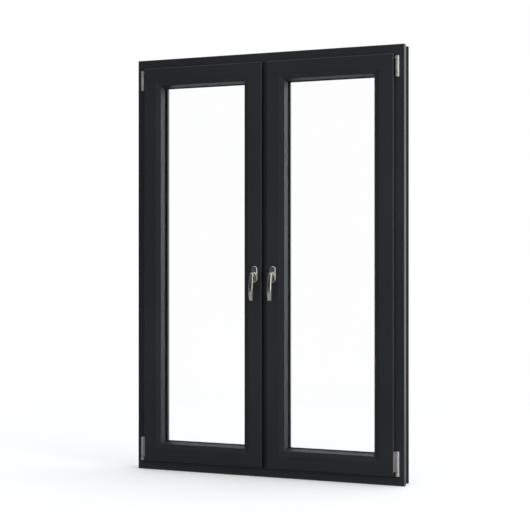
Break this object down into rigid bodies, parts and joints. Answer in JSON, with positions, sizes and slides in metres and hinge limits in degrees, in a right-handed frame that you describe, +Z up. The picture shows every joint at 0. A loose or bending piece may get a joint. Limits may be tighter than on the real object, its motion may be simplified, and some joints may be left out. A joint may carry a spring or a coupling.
{
  "type": "window",
  "caption": "Anthracite uPVC window with tilt-and-turn sashes opening into the room, satin nickel lever handles and surface hinges, double glazed",
  "frame": {"origin": "middle of the sill's front bearing land, on the underside of the frame", "axes": "+X runs to the right as seen from the room, +Y points outside, +Z points up"},
  "size_m": [1.2, 0.1625, 1.8],
  "materials": {
    "upvc": "matte",
    "clear_glass": "polished",
    "satin_nickel": "satin",
    "zinc_steel": "zinc plated",
    "seal": "matte",
    "spacer": "anodised",
    "block_plastic": "moulded"
  },
  "bodies": {
    "frame": {"frame_head": "upvc", "frame_sill": "upvc", "frame_left_jamb": "upvc", "frame_right_jamb": "upvc", "mullion": "upvc", "frame_steels": "zinc_steel", "frame_seals": "seal", "keeps": "zinc_steel", "drain_caps": "upvc", "corner_bearings": "satin_nickel", "stay_bearings": "satin_nickel", "stay_pins": "satin_nickel"},
    "left_link": {"left_tilt_link": "satin_nickel"},
    "left_sash": {"left_sash_top_rail": "upvc", "left_sash_bottom_rail": "upvc", "left_sash_hinge_stile": "upvc", "left_sash_lock_stile": "upvc", "left_sash_steels": "zinc_steel", "left_glazing_beads": "upvc", "left_glass_panes": "clear_glass", "left_spacer_bar": "spacer", "left_glazing_seals": "seal", "left_setting_blocks": "block_plastic", "left_sash_seal": "seal", "left_sash_band": "satin_nickel", "left_tilt_pin": "zinc_steel", "left_stay_rail": "zinc_steel", "left_gearbox": "zinc_steel", "left_faceplate": "zinc_steel", "left_handle_base": "block_plastic", "left_handle_rosette": "satin_nickel", "left_handle_screws": "zinc_steel"},
    "left_stay": {"left_stay_arm": "zinc_steel"},
    "left_handle": {"left_handle_lever": "satin_nickel", "left_spindle": "zinc_steel"},
    "left_drive": {"left_drive_rod": "zinc_steel"},
    "right_link": {"right_tilt_link": "satin_nickel"},
    "right_sash": {"right_sash_top_rail": "upvc", "right_sash_bottom_rail": "upvc", "right_sash_hinge_stile": "upvc", "right_sash_lock_stile": "upvc", "right_sash_steels": "zinc_steel", "right_glazing_beads": "upvc", "right_glass_panes": "clear_glass", "right_spacer_bar": "spacer", "right_glazing_seals": "seal", "right_setting_blocks": "block_plastic", "right_sash_seal": "seal", "right_sash_band": "satin_nickel", "right_tilt_pin": "zinc_steel", "right_stay_rail": "zinc_steel", "right_gearbox": "zinc_steel", "right_faceplate": "zinc_steel", "right_handle_base": "block_plastic", "right_handle_rosette": "satin_nickel", "right_handle_screws": "zinc_steel"},
    "right_stay": {"right_stay_arm": "zinc_steel"},
    "right_handle": {"right_handle_lever": "satin_nickel", "right_spindle": "zinc_steel"},
    "right_drive": {"right_drive_rod": "zinc_steel"}
  },
  "joints": [
    {"name": "left_turn", "type": "hinge", "parent": "frame", "child": "left_link", "pos_m": [-0.573, -0.0235, 0.05], "axis": [0, 0, -1], "range_deg": [0, 90]},
    {"name": "left_tilt", "type": "hinge", "parent": "left_link", "child": "left_sash", "pos_m": [-0.573, -0.0235, 0.061], "axis": [1, 0, 0], "range_deg": [0, 4.5]},
    {"name": "left_stay_swing", "type": "hinge", "parent": "left_link", "child": "left_stay", "pos_m": [-0.573, -0.0235, 1.745], "axis": [0, 0, -1], "range_deg": [0, 17.3]},
    {"name": "left_handle_turn", "type": "hinge", "parent": "left_sash", "child": "left_handle", "pos_m": [-0.041, -0.036, 0.86], "axis": [0, 1, 0], "range_deg": [0, 180]},
    {"name": "left_drive_slide", "type": "slide", "parent": "left_sash", "child": "left_drive", "axis": [0, 0, -1], "range_m": [0, 0.0158]},
    {"name": "right_turn", "type": "hinge", "parent": "frame", "child": "right_link", "pos_m": [0.573, -0.0235, 0.05], "axis": [0, 0, 1], "range_deg": [0, 90]},
    {"name": "right_tilt", "type": "hinge", "parent": "right_link", "child": "right_sash", "pos_m": [0.573, -0.0235, 0.061], "axis": [1, 0, 0], "range_deg": [0, 4.5]},
    {"name": "right_stay_swing", "type": "hinge", "parent": "right_link", "child": "right_stay", "pos_m": [0.573, -0.0235, 1.745], "axis": [0, 0, 1], "range_deg": [0, 17.3]},
    {"name": "right_handle_turn", "type": "hinge", "parent": "right_sash", "child": "right_handle", "pos_m": [0.041, -0.036, 0.86], "axis": [0, -1, 0], "range_deg": [0, 180]},
    {"name": "right_drive_slide", "type": "slide", "parent": "right_sash", "child": "right_drive", "axis": [0, 0, -1], "range_m": [0, 0.0158]}
  ],
  "couplings": [
    {"joint": "left_stay_swing", "follows": "left_tilt", "ratio": 3.83},
    {"joint": "left_drive_slide", "follows": "left_handle_turn", "m_per_rad": 0.005},
    {"joint": "right_stay_swing", "follows": "right_tilt", "ratio": 3.83},
    {"joint": "right_drive_slide", "follows": "right_handle_turn", "m_per_rad": 0.005}
  ]
}
